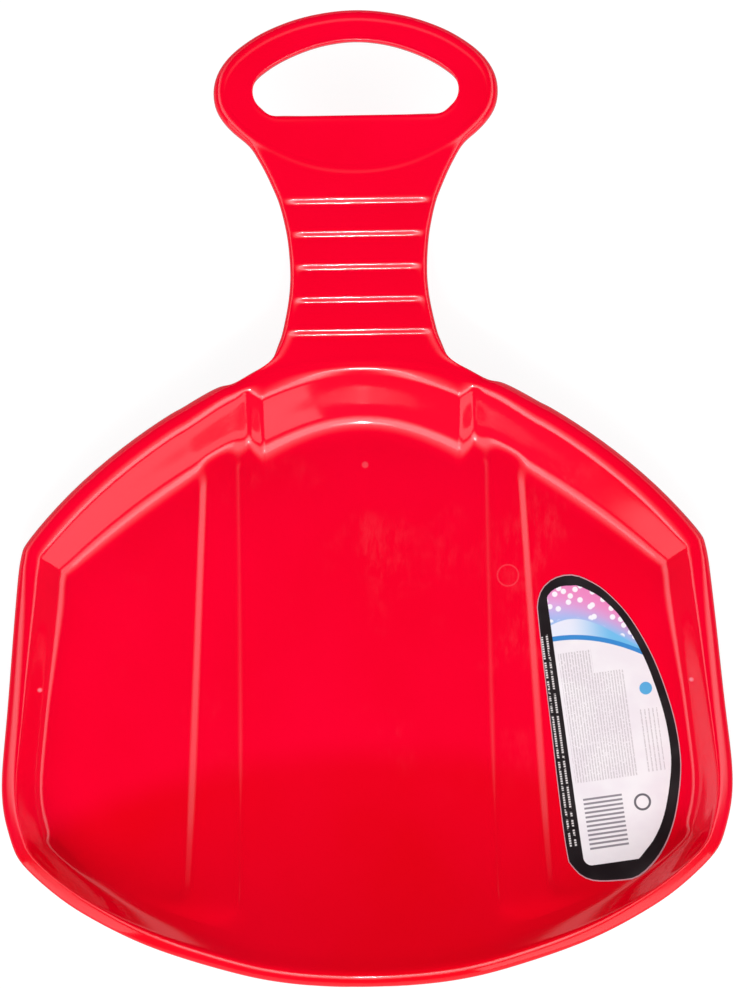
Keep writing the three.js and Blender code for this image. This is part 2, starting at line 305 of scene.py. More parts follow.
def grid_point(column, row):
    """A point of the floor. Columns run from minus to plus, and row 0 is the rear."""
    number = abs(column)
    share = ROW_SHARES[row]
    start, end = foot_of(tail_spokes[number]), foot_of(front_spokes[number])
    if row == 0:
        start = foot_of(rear_spokes[number])
    back = 1 - share
    x = mix(end.x, start.x, back * back if SLOPE_FOOT - 1 <= number <= CREST else back)
    y = mix(start.y, end.y, share)
    if number == LAST_COLUMN:
        x, y = foot_of(side_spokes[row])
    z = floor_height(x, y) + (COLUMNS[number][3] * band_height if row > 0 else 0)
    return Vector((side_of(column) * x, y, z))


def wall_place(key, level):
    """A point of the wall or rim over a border point of the floor."""
    side, spoke, band = spoke_of(key)
    if level < len(WALL_SHARES):
        share, steep = WALL_SHARES[level]
        point = spoke.point(spoke.rim + spoke.run * share)
        if key[0] == "rear":
            z = mix(floor_height(point.x, point.y), spoke.height, (1 - share) ** rear_wall_power)
        else:
            foot = foot_of(spoke)
            foot = floor_height(foot.x, foot.y)
            z = foot + (spoke.height - foot) * mix(steep, (1 - share) ** 2, spoke.swept)
            z = max(z, wall + band * band_height)
    else:
        inset, drop = rim_profile(spoke)[level - len(WALL_SHARES)]
        point = spoke.point(inset)
        z = spoke.height - drop
    return Vector((side * point.x, point.y, z))


def wall_point(key, level):
    """The same point, set out a little so that the smoothed rim runs through its place."""
    place = wall_place(key, level)
    before, after = RING_NEIGHBOURS[key]
    if key == CORNER_KEY or {before, after} & NECK_KEYS and level >= len(WALL_SHARES):
        return place
    side, spoke, _ = spoke_of(key)
    outwards = Vector((-side * spoke.inwards.x, -spoke.inwards.y, 0))
    bend = 2 * place - wall_place(before, level) - wall_place(after, level)
    return place + outwards * clamp(bend @ outwards / smoothing_pull, 0, most_set_out)


def rim_profile(spoke):
    """The insets and drops of the rim, between its front, side and rear form by the way that it faces."""
    front = clamp(-front_rim_gain * spoke.inwards.y)
    rear = clamp((spoke.inwards.y - rear_rim_start) / rear_rim_span)
    return [(spoke.rim * mix(mix(side_rim[0], front_rim[0], front), rear_rim[0], rear),
             rim_drop * mix(mix(side_rim[1], front_rim[1], front), rear_rim[1], rear))
            for front_rim, side_rim, rear_rim in zip(RIM_SHARES, SIDE_RIM_SHARES, REAR_RIM_SHARES)]


def spoke_of(key):
    """The side, the spoke and the share of a band's height for a border point of the floor."""
    kind, number = key
    side, number = side_of(number), abs(number)
    if kind == "side":
        return side, side_spokes[number - 1], 0
    if kind == "rear":
        return side, rear_spokes[number], 0
    return side, front_spokes[number], COLUMNS[number][3]


# Keys of the border of the floor, and of the strips that grow from it. The neck grows from the middle of the front
BORDER = [("front", n) for n in range(-LAST_COLUMN, LAST_COLUMN + 1)]
BORDER += [("rear", n) for n in range(-LAST_COLUMN, LAST_COLUMN + 1)]
BORDER += [("side", side * (row + 1)) for row in range(1, LAST_ROW) for side in (-1, 1)]
KEY_NUMBERS = {key: number + 1 for number, key in enumerate(BORDER)}
KEYS = {number: key for key, number in KEY_NUMBERS.items()}
NECK_COLUMN = 6
NECK_KEYS = {("front", n) for n in range(-NECK_COLUMN, NECK_COLUMN + 1)}
CORNER_KEY = ("rear", 0)

# The border in order all round, for the neighbours of each key
RING = [("rear", n) for n in range(-LAST_COLUMN, LAST_COLUMN + 1)]
RING += [("side", row + 1) for row in range(1, LAST_ROW)]
RING += [("front", n) for n in range(LAST_COLUMN, -LAST_COLUMN - 1, -1)]
RING += [("side", -row - 1) for row in range(LAST_ROW - 1, 0, -1)]
RING_NEIGHBOURS = {key: (RING[i - 1], RING[(i + 1) % len(RING)]) for i, key in enumerate(RING)}


def select_only(piece):
    bpy.ops.object.select_all(action="DESELECT")
    piece.select_set(True)
    bpy.context.view_layer.objects.active = piece


# Lines that run along columns carry the column's number and one, and this much more on the front wall
FRONT_LINES = 100


def line_of(key):
    """The line's number on the front wall, and nothing elsewhere."""
    kind, number = KEYS[key]
    return abs(number) + FRONT_LINES + 1 if kind == "front" else 0


def extrude(piece, edges_of, settle):
    """Extrudes the edges that one function picks, and gives the new points to another, which places them."""
    select_only(piece)
    bpy.ops.object.mode_set(mode="EDIT")
    select_edges(piece, edges_of)
    bpy.ops.mesh.extrude_region_move()
    bm = bmesh.from_edit_mesh(piece.data)
    settle(bm, [vert for vert in bm.verts if vert.select])
    bmesh.update_edit_mesh(piece.data)
    bpy.ops.object.mode_set(mode="OBJECT")


def select_edges(piece, edges_of):
    bpy.ops.mesh.select_mode(type="EDGE")
    bpy.ops.mesh.select_all(action="DESELECT")
    bm = bmesh.from_edit_mesh(piece.data)
    for edge in edges_of(bm):
        edge.select_set(True)
    bmesh.update_edit_mesh(piece.data)


def grow(piece, is_chosen, place, level, line=lambda key: 0):
    """Extrudes the open border edges whose two keys are chosen, and puts each new point in its place."""
    def newest_border(bm):
        keys, levels = bm.verts.layers.int["key"], bm.verts.layers.int["level"]
        newest = max(vert[levels] for vert in bm.verts)
        for edge in bm.edges:
            a, b = (vert[keys] for vert in edge.verts)
            is_border = len(edge.link_faces) < 2 and all(vert[levels] == newest for vert in edge.verts)
            if is_border and a != b and is_chosen(a) and is_chosen(b):
                yield edge

    def settle(bm, points):
        keys, levels = bm.verts.layers.int["key"], bm.verts.layers.int["level"]
        lines = bm.verts.layers.int.get("line")
        for vert in points:
            vert.co = place(vert[keys]) * MM
            vert[levels] = level
            if lines is not None:
                vert[lines] = line(vert[keys])

    extrude(piece, newest_border, settle)


def keyed_ring(count, point_at):
    """A new ring of points with keys from one up, each at the place that its number gives."""
    bpy.ops.object.select_all(action="DESELECT")
    bpy.ops.mesh.primitive_circle_add(vertices=count, radius=1)
    piece = bpy.context.object
    bm = bmesh.new()
    bm.from_mesh(piece.data)
    keys = bm.verts.layers.int.new("key")
    bm.verts.layers.int.new("level")
    bm.verts.ensure_lookup_table()
    for number, vert in enumerate(bm.verts):
        vert[keys] = number + 1
        vert.co = point_at(number) * MM
    bm.to_mesh(piece.data)
    bm.free()
    return piece


def close_up(piece, gap):
    """Merges the points of a sheet that lie together, and turns its faces up."""
    bpy.ops.object.mode_set(mode="EDIT")
    bpy.ops.mesh.select_all(action="SELECT")
    bpy.ops.mesh.remove_doubles(threshold=gap * MM)
    bpy.ops.mesh.normals_make_consistent(inside=False)
    bpy.ops.object.mode_set(mode="OBJECT")
    if piece.data.polygons[0].normal.z < 0:
        piece.data.flip_normals()


# The floor
bpy.ops.object.select_all(action="DESELECT")
bpy.ops.mesh.primitive_grid_add(x_subdivisions=2 * LAST_COLUMN, y_subdivisions=LAST_ROW, size=2)
shell = bpy.context.object
shell.name = "slider_shell"
bm = bmesh.new()
bm.from_mesh(shell.data)
keys = bm.verts.layers.int.new("key")
levels = bm.verts.layers.int.new("level")
lines = bm.verts.layers.int.new("line")
for vert in bm.verts:
    column = round((vert.co.x + 1) * LAST_COLUMN) - LAST_COLUMN
    row = round((vert.co.y + 1) / 2 * LAST_ROW)
    vert.co = grid_point(column, row) * MM
    vert[lines] = abs(column) + 1 if row > 0 else 0
    if row in (0, LAST_ROW):
        vert[keys] = KEY_NUMBERS["rear" if row == 0 else "front", column]
    elif abs(column) == LAST_COLUMN:
        vert[keys] = KEY_NUMBERS["side", (row + 1) * (1 if column > 0 else -1)]
bm.to_mesh(shell.data)
bm.free()

neck_keys = {KEY_NUMBERS[key] for key in NECK_KEYS}


def neck_height(y):
    crown = pan_front - panel_rims[0]
    slope = (overall_height - grip_rise - rim_heights["front"]) / (grip_tip - crown)
    return rim_heights["front"] + (y - crown) * slope


def mirrored(points):
    return [(-x, y) for x, y in reversed(points)]


class Path:
    """A smooth line through points, measured along its length."""

    STEPS = 12

    def __init__(self, points, closed=False):
        self.points = []
        count = len(points)
        spans = count if closed else count - 1
        for span in range(spans):
            rows = [points[(span + k) % count if closed else clamp(span + k, 0, count - 1)]
                    for k in (-1, 0, 1, 2)]
            for step in range(self.STEPS):
                self.points.append(Vector(curve_at(rows, 1 + step / self.STEPS)))
        self.points.append(self.points[0] if closed else Vector(points[-1]))
        self.lengths = [0.0]
        for a, b in zip(self.points, self.points[1:]):
            self.lengths.append(self.lengths[-1] + (b - a).length)

    def at(self, length):
        """The point this far along, and the direction to its right."""
        last = len(self.points) - 2
        spot = next((i for i, so_far in enumerate(self.lengths) if so_far > length), last + 1) - 1
        spot = min(max(spot, 0), last)
        a, b = self.points[spot], self.points[spot + 1]
        share = (length - self.lengths[spot]) / max(self.lengths[spot + 1] - self.lengths[spot], 1e-9)
        run = (self.points[min(spot + 2, last + 1)] - self.points[max(spot - 1, 0)]).normalized()
        return a.lerp(b, share), Vector((run.y, -run.x))

    def find(self, axis, target, low, high):
        return solve(lambda length: self.at(length)[0][axis], target, low, high)


neck_side = Path([(waist_half * a, neck_root + neck_length * b) for a, b in NECK_SHARES])
grip_right = [(grip_half * a, grip_tip - grip_depth * (1 - b)) for a, b in GRIP_SHARES]
grip_path = Path(grip_right + mirrored(grip_right)[1:-1], closed=True)
hole_right = [(hole_half * a, hole_rear + hole_depth * b) for a, b in HOLE_SHARES]
hole_path = Path(hole_right + mirrored(hole_right)[1:-1], closed=True)


def neck_half(y):
    length = neck_side.find(1, y, 0, neck_side.lengths[-1])
    return neck_side.at(length)[0].x


# Rows of the neck: place along in the middle and at the edge, and the depth of the steps there
ROOT_ROWS = [(78, 65.6, 0), (80.5, 68, 0), (82.5, 69.6, 0), (85, 75, 0.33 * step_depth),
             (88, 82, 0.52 * step_depth), (91, 88, 0.71 * step_depth)]
LAST_ROWS = [(185.5, 190.5, 0), (187.2, 198, 0)]

# Rows of one step, from the tread before it: place from its edge, and share of its depth. The first has no tread
STEP_ROWS = [(-10, 0.55), (-step_face - 1.5, 0.95), (-step_face, 1), (-0.7, 0.1), (1, 0.04)]
step_rows = []
for number in range(step_count):
    edge = first_step + step_pitch * number
    step_rows += [(edge + place, step_depth * share) for place, share in STEP_ROWS[0 if number else 1:]]
NECK_ROWS = ROOT_ROWS + [(y, y, depth) for y, depth in step_rows] + LAST_ROWS

# Rows where the rim turns into the neck: half width at the shoulder, share of the way to the neck, and drop
SHOULDER_ROWS = [(74, 0.16, 0.4), (75, 0.3, 1.6), (75.6, 0.42, 3.4)]
shoulder_pull = 0.7
shoulder_rise = 2
shoulder_blend = 0.6
neck_start = 90

# Where the neck meets the grip, and the columns of both there
JUNCTION = 204.5
GRIP_COLUMNS = [0, 14, 27, 38, 47, 53.8, 60.6]
NECK_SHARES_ACROSS = [0, 0.28, 0.54, 0.74]
neck_edge_inset = neck_round * 0.3
step_margin = 5.6


def neck_columns(edge):
    inner = [edge * share for share in NECK_SHARES_ACROSS]
    return inner + [edge - step_margin, edge - neck_round + neck_edge_inset, edge]


def neck_point(key, row):
    _, number = KEYS[key]
    side, number = side_of(number), abs(number)
    middle, edge_y, depth = NECK_ROWS[row]
    if row < len(SHOULDER_ROWS):
        top = front_spokes[number].point(front_spokes[number].rim)
        edge_x, share, drop = SHOULDER_ROWS[row]
        straight = neck_columns(neck_half(neck_start) - neck_edge_inset)[number]
        x = mix(top.x, straight, share * shoulder_pull) if number < NECK_COLUMN else edge_x
        y = mix(middle, edge_y, (x / edge_x) ** 2)
        z = mix(rim_heights["front"], neck_height(y), clamp(share * shoulder_rise))
        if number == NECK_COLUMN:
            z = mix(z, front_spokes[number].height - drop, shoulder_blend)
        return Vector((side * x, y, z))
    edge_x = neck_half(edge_y) - neck_edge_inset
    x = neck_columns(edge_x)[number]
    y = mix(middle, edge_y, (x / edge_x) ** 2)
    if number > len(NECK_SHARES_ACROSS):
        depth = 0
    z = neck_height(y) - depth
    if number == NECK_COLUMN:
        z -= neck_edge_inset
    return Vector((side * x, y, z))


# Walls and rim all round, with the front columns running on into the neck. Each ring of new points has a level
# of its own, by which the next one finds it
NECK_LEVELS, NECK_END_LEVEL, GRIP_LEVELS = 20, 50, 60
for level in range(len(WALL_SHARES)):
    grow(shell, lambda key: key > 0, lambda key, level=level: wall_point(KEYS[key], level), level + 1, line_of)


def rim_point(key, row):
    return neck_point(key, row) if key in neck_keys else wall_point(KEYS[key], len(WALL_SHARES) + row)


for row in range(len(RIM_SHARES)):
    grow(shell, lambda key: key > 0, lambda key, row=row: rim_point(key, row), len(WALL_SHARES) + row + 1)
for row in range(len(RIM_SHARES), len(NECK_ROWS)):
    grow(shell, lambda key: key in neck_keys, lambda key, row=row: neck_point(key, row), NECK_LEVELS + row)

# The grip, from the hand hole outwards
GRIP_SPOKES = 42
HALF_SPOKES = GRIP_SPOKES // 2
HOLE_COLUMNS = [0, 11, 22, 31, 38.5, 44.5, 49.3]
first_spoke_gap = 0.8
grip_tip_length = grip_path.lengths[-1] / 2
hole_tip_length = hole_path.lengths[-1] / 2

# The columns' places are looked for in the first fifth of both outlines, where they run across
grip_search = grip_path.lengths[-1] / 5
hole_search = hole_path.lengths[-1] / 5
grip_start = grip_path.find(0, GRIP_COLUMNS[-1] + first_spoke_gap, 0, grip_search)
hole_start = hole_path.find(0, HOLE_COLUMNS[-1], 0, hole_search)


def grip_lengths(number):
    """Places along the grip's outline and the hole's, for a spoke of the right half."""
    if number <= NECK_COLUMN:
        return (grip_path.find(0, GRIP_COLUMNS[number], 0, grip_search),
                hole_path.find(0, HOLE_COLUMNS[number], 0, hole_search))
    share = (number - NECK_COLUMN) / (HALF_SPOKES - NECK_COLUMN)
    return mix(grip_start, grip_tip_length, share), mix(hole_start, hole_tip_length, share)


def grip_height(y):
    return neck_height(y) + grip_rise


# Rings from the hole outwards: the outline that they keep to, how far they are from it, and their drop. The
# middle one has its share of the way between two places near them
GRIP_RINGS = [("hole", 0.45, 0.6), ("hole", 1.5, 0.1), ("hole", 3.2, grip_dish), ("middle", 0.5, grip_dish),
              ("grip", 8.2, grip_dish), ("grip", 6.8, grip_dish), ("grip", 5.2, 0.05), ("grip", 3.4, 0.25),
              ("grip", 1.4, 1.4)]
middle_from_hole = 4
middle_from_grip = 7
junction_inset = 2
junction_lip_share = 0.4


def grip_point(key, ring):
    number = key - 1
    side = 1 if number <= HALF_SPOKES else -1
    number = number if number <= HALF_SPOKES else GRIP_SPOKES - number
    outer, inner = grip_lengths(number)
    (outer, outwards), (inner, outwards_hole) = grip_path.at(outer), hole_path.at(inner)
    kind, inset, drop = GRIP_RINGS[ring]
    last = ring == len(GRIP_RINGS) - 1
    if kind == "hole":
        point = inner + outwards_hole * inset
    elif kind == "grip":
        point = outer - outwards * (junction_inset if last and number <= NECK_COLUMN else inset)
    else:
        point = (inner + outwards_hole * middle_from_hole).lerp(outer - outwards * middle_from_grip, inset)
    if number <= NECK_COLUMN and kind == "grip":
        drop = mix(grip_dish, drop, junction_lip_share)
    z = grip_height(point.y) - drop
    if number <= NECK_COLUMN and kind == "grip" and last:
        z = grip_height(point.y) - grip_rise - (neck_edge_inset if number == NECK_COLUMN else 0)
    return Vector((side * point.x, point.y, z))


grip = keyed_ring(GRIP_SPOKES, lambda number: grip_point(number + 1, 0))
for ring in range(1, len(GRIP_RINGS)):
    grow(grip, lambda key: key > 0, lambda key, ring=ring: grip_point(key, ring), GRIP_LEVELS + ring)


# The neck's last row is the grip's outer ring between the two junctions
def last_neck_row(key):
    _, number = KEYS[key]
    return grip_point(number % GRIP_SPOKES + 1, len(GRIP_RINGS) - 1)


shell_merge_gap = 0.02
grow(shell, lambda key: key in neck_keys, last_neck_row, NECK_END_LEVEL)

select_only(shell)
grip.select_set(True)
bpy.ops.object.join()
close_up(shell, shell_merge_gap)

# Crisp edges: the bands' slopes and sides, the strips beside the front panel, and the corners of the front wall
CRISP_LINES = {SLOPE_FOOT + 1: 0.35, CREST + 1: 0.5, BAND_EDGE + 1: 0.6, BAND_FOOT + 1: 0.6,
               FRONT_LINES + SLOPE_FOOT + 1: 0.45, FRONT_LINES + STRIP_EDGE + 1: 0.45,
               FRONT_LINES + LAST_COLUMN + 1: 0.7}
bm = bmesh.new()
bm.from_mesh(shell.data)
lines = bm.verts.layers.int["line"]
crease = bm.edges.layers.float.get("crease_edge") or bm.edges.layers.float.new("crease_edge")
for edge in bm.edges:
    a, b = (vert[lines] for vert in edge.verts)
    if a % FRONT_LINES == b % FRONT_LINES and max(a, b) in CRISP_LINES:
        edge[crease] = CRISP_LINES[max(a, b)]
bm.to_mesh(shell.data)
bm.free()


def outward(vert):
    """The level direction out of the sheet at a border point."""
    edges = [edge for edge in vert.link_edges if edge.is_boundary]
    ways = [(edge.other_vert(vert).co - vert.co).xy.normalized() for edge in edges]
    along = sum((way * sign for way, sign in zip(ways, (1, -1))), Vector((0, 0)))
    side = Vector((along.y, -along.x)).normalized()
    faces = sum(((face.calc_center_median() - vert.co).xy for face in vert.link_faces), Vector((0, 0)))
    return side if side.dot(faces) < 0 else -side


def hang(piece, rings, is_chosen):
    """Extrudes an open border outwards and down. Each ring has its way out and its drop in radii of the edge, and
    a further drop in millimetres."""
    select_only(piece)
    bm = bmesh.new()
    bm.from_mesh(piece.data)
    bm.verts.ensure_lookup_table()
    start = {vert.index: (vert.co.copy(), outward(vert), edge_round(vert.co)) for vert in bm.verts
             if vert.is_boundary and is_chosen(vert.co)}
    origin = bm.verts.layers.int.get("origin") or bm.verts.layers.int.new("origin")
    for vert in bm.verts:
        vert[origin] = vert.index + 1 if vert.index in start else 0
    bm.to_mesh(piece.data)
    bm.free()

    def hung_border(bm):
        origin = bm.verts.layers.int["origin"]
        return [edge for edge in bm.edges if edge.is_boundary and all(vert[origin] for vert in edge.verts)]

    def settle(bm, points):
        origin = bm.verts.layers.int["origin"]
        for vert in points:
            place, away, round_size = start[vert[origin] - 1]
            shift = away * round_size * out + set_out(place, away)
            vert.co = place + Vector((shift.x, shift.y, -round_size * down - lip)) * MM

    for out, down, lip in rings:
        extrude(piece, hung_border, settle)


# An oval a little larger than the hand hole
hole_middle = hole_rear + 20
hole_reach = 24
hole_oval = 1.05
neck_round_blend = 12


def edge_round(place):
    """The radius of the sled's edge here."""
    x, y = abs(place.x) / MM, place.y / MM
    if (x / hole_half) ** 2 + ((y - hole_middle) / hole_reach) ** 2 < hole_oval:
        return hole_round
    if y > JUNCTION:
        return grip_round
    if x < shoulder_half and y > neck_root:
        return mix(rim_round, neck_round, clamp((y - neck_root) / neck_round_blend))
    return rim_round


# How far an edge is set out across and along, on the neck and grip and on the pan
neck_set_out = (1, 0.2)
pan_set_out = (0.3, 0.8)
pan_end = pan_front - 12
hole_margin_across = 1
hole_margin_along = 2


def set_out(place, away):
    """How far an edge goes out before smoothing, which draws it in again by as much."""
    if in_hole(place):
        return Vector((0, 0))
    across, along = neck_set_out if place.y / MM > pan_end else pan_set_out
    return Vector((away.x * across, away.y * along))


def in_hole(place):
    is_across = abs(place.x) < (hole_half + hole_margin_across) * MM
    return is_across and -hole_margin_along < place.y / MM - hole_rear < hole_depth + hole_margin_along


LIP_RINGS = [(0.3, 0.7, 0), (0.3, 0.7, lip_depth)]
hang(shell, LIP_RINGS, lambda place: not in_hole(place))
hang(shell, LIP_RINGS, in_hole)
for name in ("key", "level", "line", "origin"):
    shell.data.attributes.remove(shell.data.attributes[name])


def finish_with(piece, kind, **settings):
    """Adds a modifier to a piece and applies it."""
    select_only(piece)
    modifier = piece.modifiers.new(kind.title(), kind)
    for name, value in settings.items():
        setattr(modifier, name, value)
    bpy.ops.object.modifier_apply(modifier=modifier.name)


# The wall under the sheet, smoothed and kept inside the solid's box
shell_thickness = 2.4
lip_crease = 0.8
smoothing = 2
finish_with(shell, "SOLIDIFY", thickness=shell_thickness * MM, offset=-1, use_even_offset=True,
            use_quality_normals=True, edge_crease_rim=lip_crease)
finish_with(shell, "SUBSURF", levels=smoothing, render_levels=smoothing)
for vert in shell.data.vertices:
    vert.co.x = clamp(vert.co.x, shell_low.x, shell_high.x)
    vert.co.y = clamp(vert.co.y, shell_low.y, shell_high.y)
select_only(shell)
bpy.ops.object.shade_smooth()

# Printed label, placed over the floor right of the right band
label_side_gap = 28.9
label_width = 83
label_length = 179
label_end = 57.5
label_place = half_width - label_side_gap - label_width
label_thickness = 0.25
label_gap = 0.03
label_start_height = 100
label_merge_gap = 0.01
label_edge_angle = 40
LABEL_POINTS = 96

# Outline of the label, and its middle line: shares across and along
LABEL_SPINE_SHARES = [(0.52, 0.25), (0.36, 0.8)]
LABEL_SHARES = [
    (0.17, 0.11), (0.22, 0.04), (0.34, 0.002), (0.54, 0), (0.69, 0.015), (0.85, 0.086), (0.95, 0.19), (1, 0.335),
    (0.99, 0.447), (0.935, 0.569), (0.82, 0.721), (0.66, 0.855), (0.5, 0.939), (0.38, 0.978), (0.257, 1),
    (0.14, 0.993), (0.05, 0.964), (0.004, 0.918), (0.005, 0.852), (0.077, 0.521),
]

# Rings of the label from its edge inwards: share of the dark border, and of the way on to the middle line
LABEL_RINGS = [(0, 0), (0.1, 0), (0.55, 0)] + [(1, share) for share in (0, 0.15, 0.3, 0.45, 0.6, 0.75, 0.88)]

# How wide the dark border is, by the way that it faces, in degrees from the right and over the top
LABEL_BORDERS = [(0, 6), (40, 4.4), (90, 6.8), (150, 5), (230, 5), (275, 6), (320, 8.3), (360, 6)]


def on_label(across, along):
    return label_place + label_width * across, rear_end + label_end + label_length * along


label_path = Path([on_label(*shares) for shares in LABEL_SHARES], closed=True)
label_spine = [Vector(on_label(*shares)) for shares in LABEL_SPINE_SHARES]


def border_width(outwards):
    turn = math.degrees(math.atan2(outwards.y, outwards.x)) % 360
    for (low, width), (high, next_width) in zip(LABEL_BORDERS, LABEL_BORDERS[1:]):
        if turn <= high:
            return mix(width, next_width, (turn - low) / (high - low))
    return LABEL_BORDERS[0][1]


def label_point(number, ring):
    place, outwards = label_path.at(label_path.lengths[-1] * number / LABEL_POINTS)
    inset, share = LABEL_RINGS[ring]
    place = place - outwards * inset * border_width(outwards)
    low, high = label_spine
    spine = low.lerp(high, clamp((place.y - low.y) / (high.y - low.y)))
    place = place.lerp(spine, share)
    return Vector((place.x, place.y, label_start_height))


label = keyed_ring(LABEL_POINTS, lambda number: label_point(number, 0))
label.name = "printed_label"
for ring in range(1, len(LABEL_RINGS)):
    grow(label, lambda key: key > 0, lambda key, ring=ring: label_point(key - 1, ring), ring)


def inner_border(bm):
    levels = bm.verts.layers.int["level"]
    return [edge for edge in bm.edges
            if edge.is_boundary and all(vert[levels] == len(LABEL_RINGS) - 1 for vert in edge.verts)]


select_only(label)
bpy.ops.object.mode_set(mode="EDIT")
select_edges(label, inner_border)
bpy.ops.mesh.fill()
close_up(label, label_merge_gap)
label.data.attributes.new("edge_share", "FLOAT", "POINT")
for share, level in zip(label.data.attributes["edge_share"].data, label.data.attributes["level"].data):
    share.value = sum(LABEL_RINGS[level.value])
for name in ("key", "level"):
    label.data.attributes.remove(label.data.attributes[name])
finish_with(label, "SHRINKWRAP", target=shell, wrap_method="PROJECT", use_project_z=True,
            use_negative_direction=True, use_positive_direction=False, offset=0)
for vert in label.data.vertices:
    vert.co.z += label_gap * MM
finish_with(label, "SOLIDIFY", thickness=label_thickness * MM, offset=1)
select_only(label)
bpy.ops.object.shade_smooth_by_angle(angle=math.radians(label_edge_angle))
for piece, node, slot in ((shell, "sled_shell", "red_plastic"), (label, "label", "printed_label")):
    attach(piece, "root")
    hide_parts(node)


class Value:
    """A socket of a material that adds, multiplies and compares as a number does."""

    def __init__(self, finish, socket):
        self.finish = finish
        self.socket = socket

    def maths(self, operation, *others):
        return self.finish.node("ShaderNodeMath", {"operation": operation}, [self, *others])

    def __add__(self, other):
        return self.maths("ADD", other)

    def __sub__(self, other):
        return self.maths("SUBTRACT", other)

    def __mul__(self, other):
        return self.maths("MULTIPLY", other)

    def __truediv__(self, other):
        return self.maths("DIVIDE", other)

    def __rsub__(self, other):
        return self.finish.node("ShaderNodeMath", {"operation": "SUBTRACT"}, [other, self])

    def __rtruediv__(self, other):
        return self.finish.node("ShaderNodeMath", {"operation": "DIVIDE"}, [other, self])

    __radd__ = __add__
    __rmul__ = __mul__

    def size(self):
        return self.maths("ABSOLUTE")

    def smaller(self, other):
        return self.maths("MINIMUM", other)

    def larger(self, other):
        return self.maths("MAXIMUM", other)

    def power(self, other):
        return self.maths("POWER", other)

    def rise(self, start, end, low=0.0, high=1.0):
        """Goes smoothly from low to high while the value goes from start to end."""
        settings = {"interpolation_type": "SMOOTHSTEP", "clamp": True}
        return self.finish.node("ShaderNodeMapRange", settings, [self, start, end, low, high])

    def part(self, name):
        """Another output of the same node."""
        return Value(self.finish, self.socket.node.outputs[name])


class Finish:
    """The nodes of one material, or of the world."""

    def __init__(self, owner):
        owner.use_nodes = True
        self.owner = owner
        self.nodes = owner.node_tree.nodes
        self.links = owner.node_tree.links
        self.nodes.clear()

    def node(self, kind, settings=None, sockets=None):
        """A new node. Settings come first, then the values or links of its sockets, by name or in order."""
        made = self.nodes.new(kind)
        for name, value in (settings or {}).items():
            if name == "stops":
                self.set_stops(made.color_ramp, value)
            else:
                setattr(made, name, value)
        shown = [socket for socket in made.inputs if socket.enabled]
        pairs = sockets.items() if isinstance(sockets, dict) else enumerate(sockets or [])
        for name, value in pairs:
            socket = shown[name] if isinstance(name, int) else next(one for one in shown if one.name == name)
            if isinstance(value, Value):
                self.links.new(value.socket, socket)
            else:
                socket.default_value = value
        return Value(self, next((socket for socket in made.outputs if socket.enabled), None))

    @staticmethod
    def set_stops(ramp, stops):
        while len(ramp.elements) > 1:
            ramp.elements.remove(ramp.elements[-1])
        for number, (place, colour) in enumerate(stops):
            stop = ramp.elements[0] if number == 0 else ramp.elements.new(place)
            stop.position = place
            stop.color = colour

    def blend(self, share, first, second):
        """A mix of two colours."""
        return self.node("ShaderNodeMix", {"data_type": "RGBA"}, {"Factor": share, "A": first, "B": second})

    def noise(self, place, scale, detail=2.0, roughness=0.5):
        """A cloudy value around 0.5. The scale is in clouds per metre."""
        return self.node("ShaderNodeTexNoise", {}, {"Vector": place, "Scale": scale, "Detail": detail,
                                                    "Roughness": roughness})

    def moved(self, place, turn=0.0, stretch=(1, 1, 1)):
        rotation = (0, 0, math.radians(turn))
        return self.node("ShaderNodeMapping", {}, {"Vector": place, "Rotation": rotation, "Scale": stretch})

    def plan(self, place):
        """The place across and along, in millimetres."""
        split = self.node("ShaderNodeSeparateXYZ", {}, [place])
        return split.part("X") / MM, split.part("Y") / MM

    def show(self, shader, kind="ShaderNodeOutputMaterial"):
        self.node(kind, {}, {"Surface": shader})
        return self.owner


def within(value, low, high, blur=0.1):
    """One between two lines, and nothing outside them."""
    return value.rise(low - blur, low + blur) * value.rise(high - blur, high + blur, 1, 0)


def distance(plan, x, y):
    """How far a place is from a point, seen from above."""
    across, along = plan[0] - x, plan[1] - y
    return (across * across + along * along).power(0.5)


def rule_lines(value, pitch, width):
    """Plain lines at an even pitch."""
    half, blur = width / pitch / 2, 0.04
    return ((value / pitch).maths("FRACT") - 0.5).size().rise(half - blur, half + blur, 1, 0)


def paint(piece, material):
    piece.data.materials.clear()
    piece.data.materials.append(material)


# Glossy red moulding: its colours, with a darker red painted as shade over the rear sweep and a pink painted as
# glints on the wall nubs, and the places and edges of its marks in millimetres
BRIGHT_RED = (0.94, 0.0, 0.026, 1)
# The darker red is painted shade for the rear of the pan, where the floor sweeps up
SHADED_RED = (0.8, 0.0, 0.008, 1)
# The rubbed pink paints the real scuffs and marks, and also painted highlight glints on the side walls' nubs
RUBBED_AND_GLINT_RED = (1.0, 0.3, 0.36, 1)
gate_place, gate_edge = (1.8, 22), (1.2, 2.4)
ring_place, ring_radius, ring_line = (84.6, -44.3), 6.2, (0.2, 0.7)
wall_mark_place, wall_mark_edge = (191, -107), (0.4, 1.7)
# Where the painted rear shade begins: how its line bends back at the sides, and its soft edge along
rear_shade_bend, rear_shade_edge = 0.0012, (-160, -134)
rubbed_rear, rubbed_front, rubbed_side = (-190, -120), (15, 35), (120, 165)
streak_stretch = (1, 0.3, 1)

# How much each layer shows: in the colour, in the roughness and in the height
scuff_paint, scuff_rough, scuff_height = 0.05, 0.12, 0.01
gate_paint, gate_height = 0.2, 0.5
ring_paint, ring_height = 0.1, 0.12
# The wall nubs' colour strength is a painted highlight; their height is a real raised nub
wall_glint_paint, wall_mark_height = 0.9, 0.4
clouds_paint, rear_shade_paint = 0.3, 0.7
least_rough, haze_rough, grit_rough = 0.07, 0.03, 0.02
swirl_height, haze_height, grit_height = 0.3, 0.03, 0.004

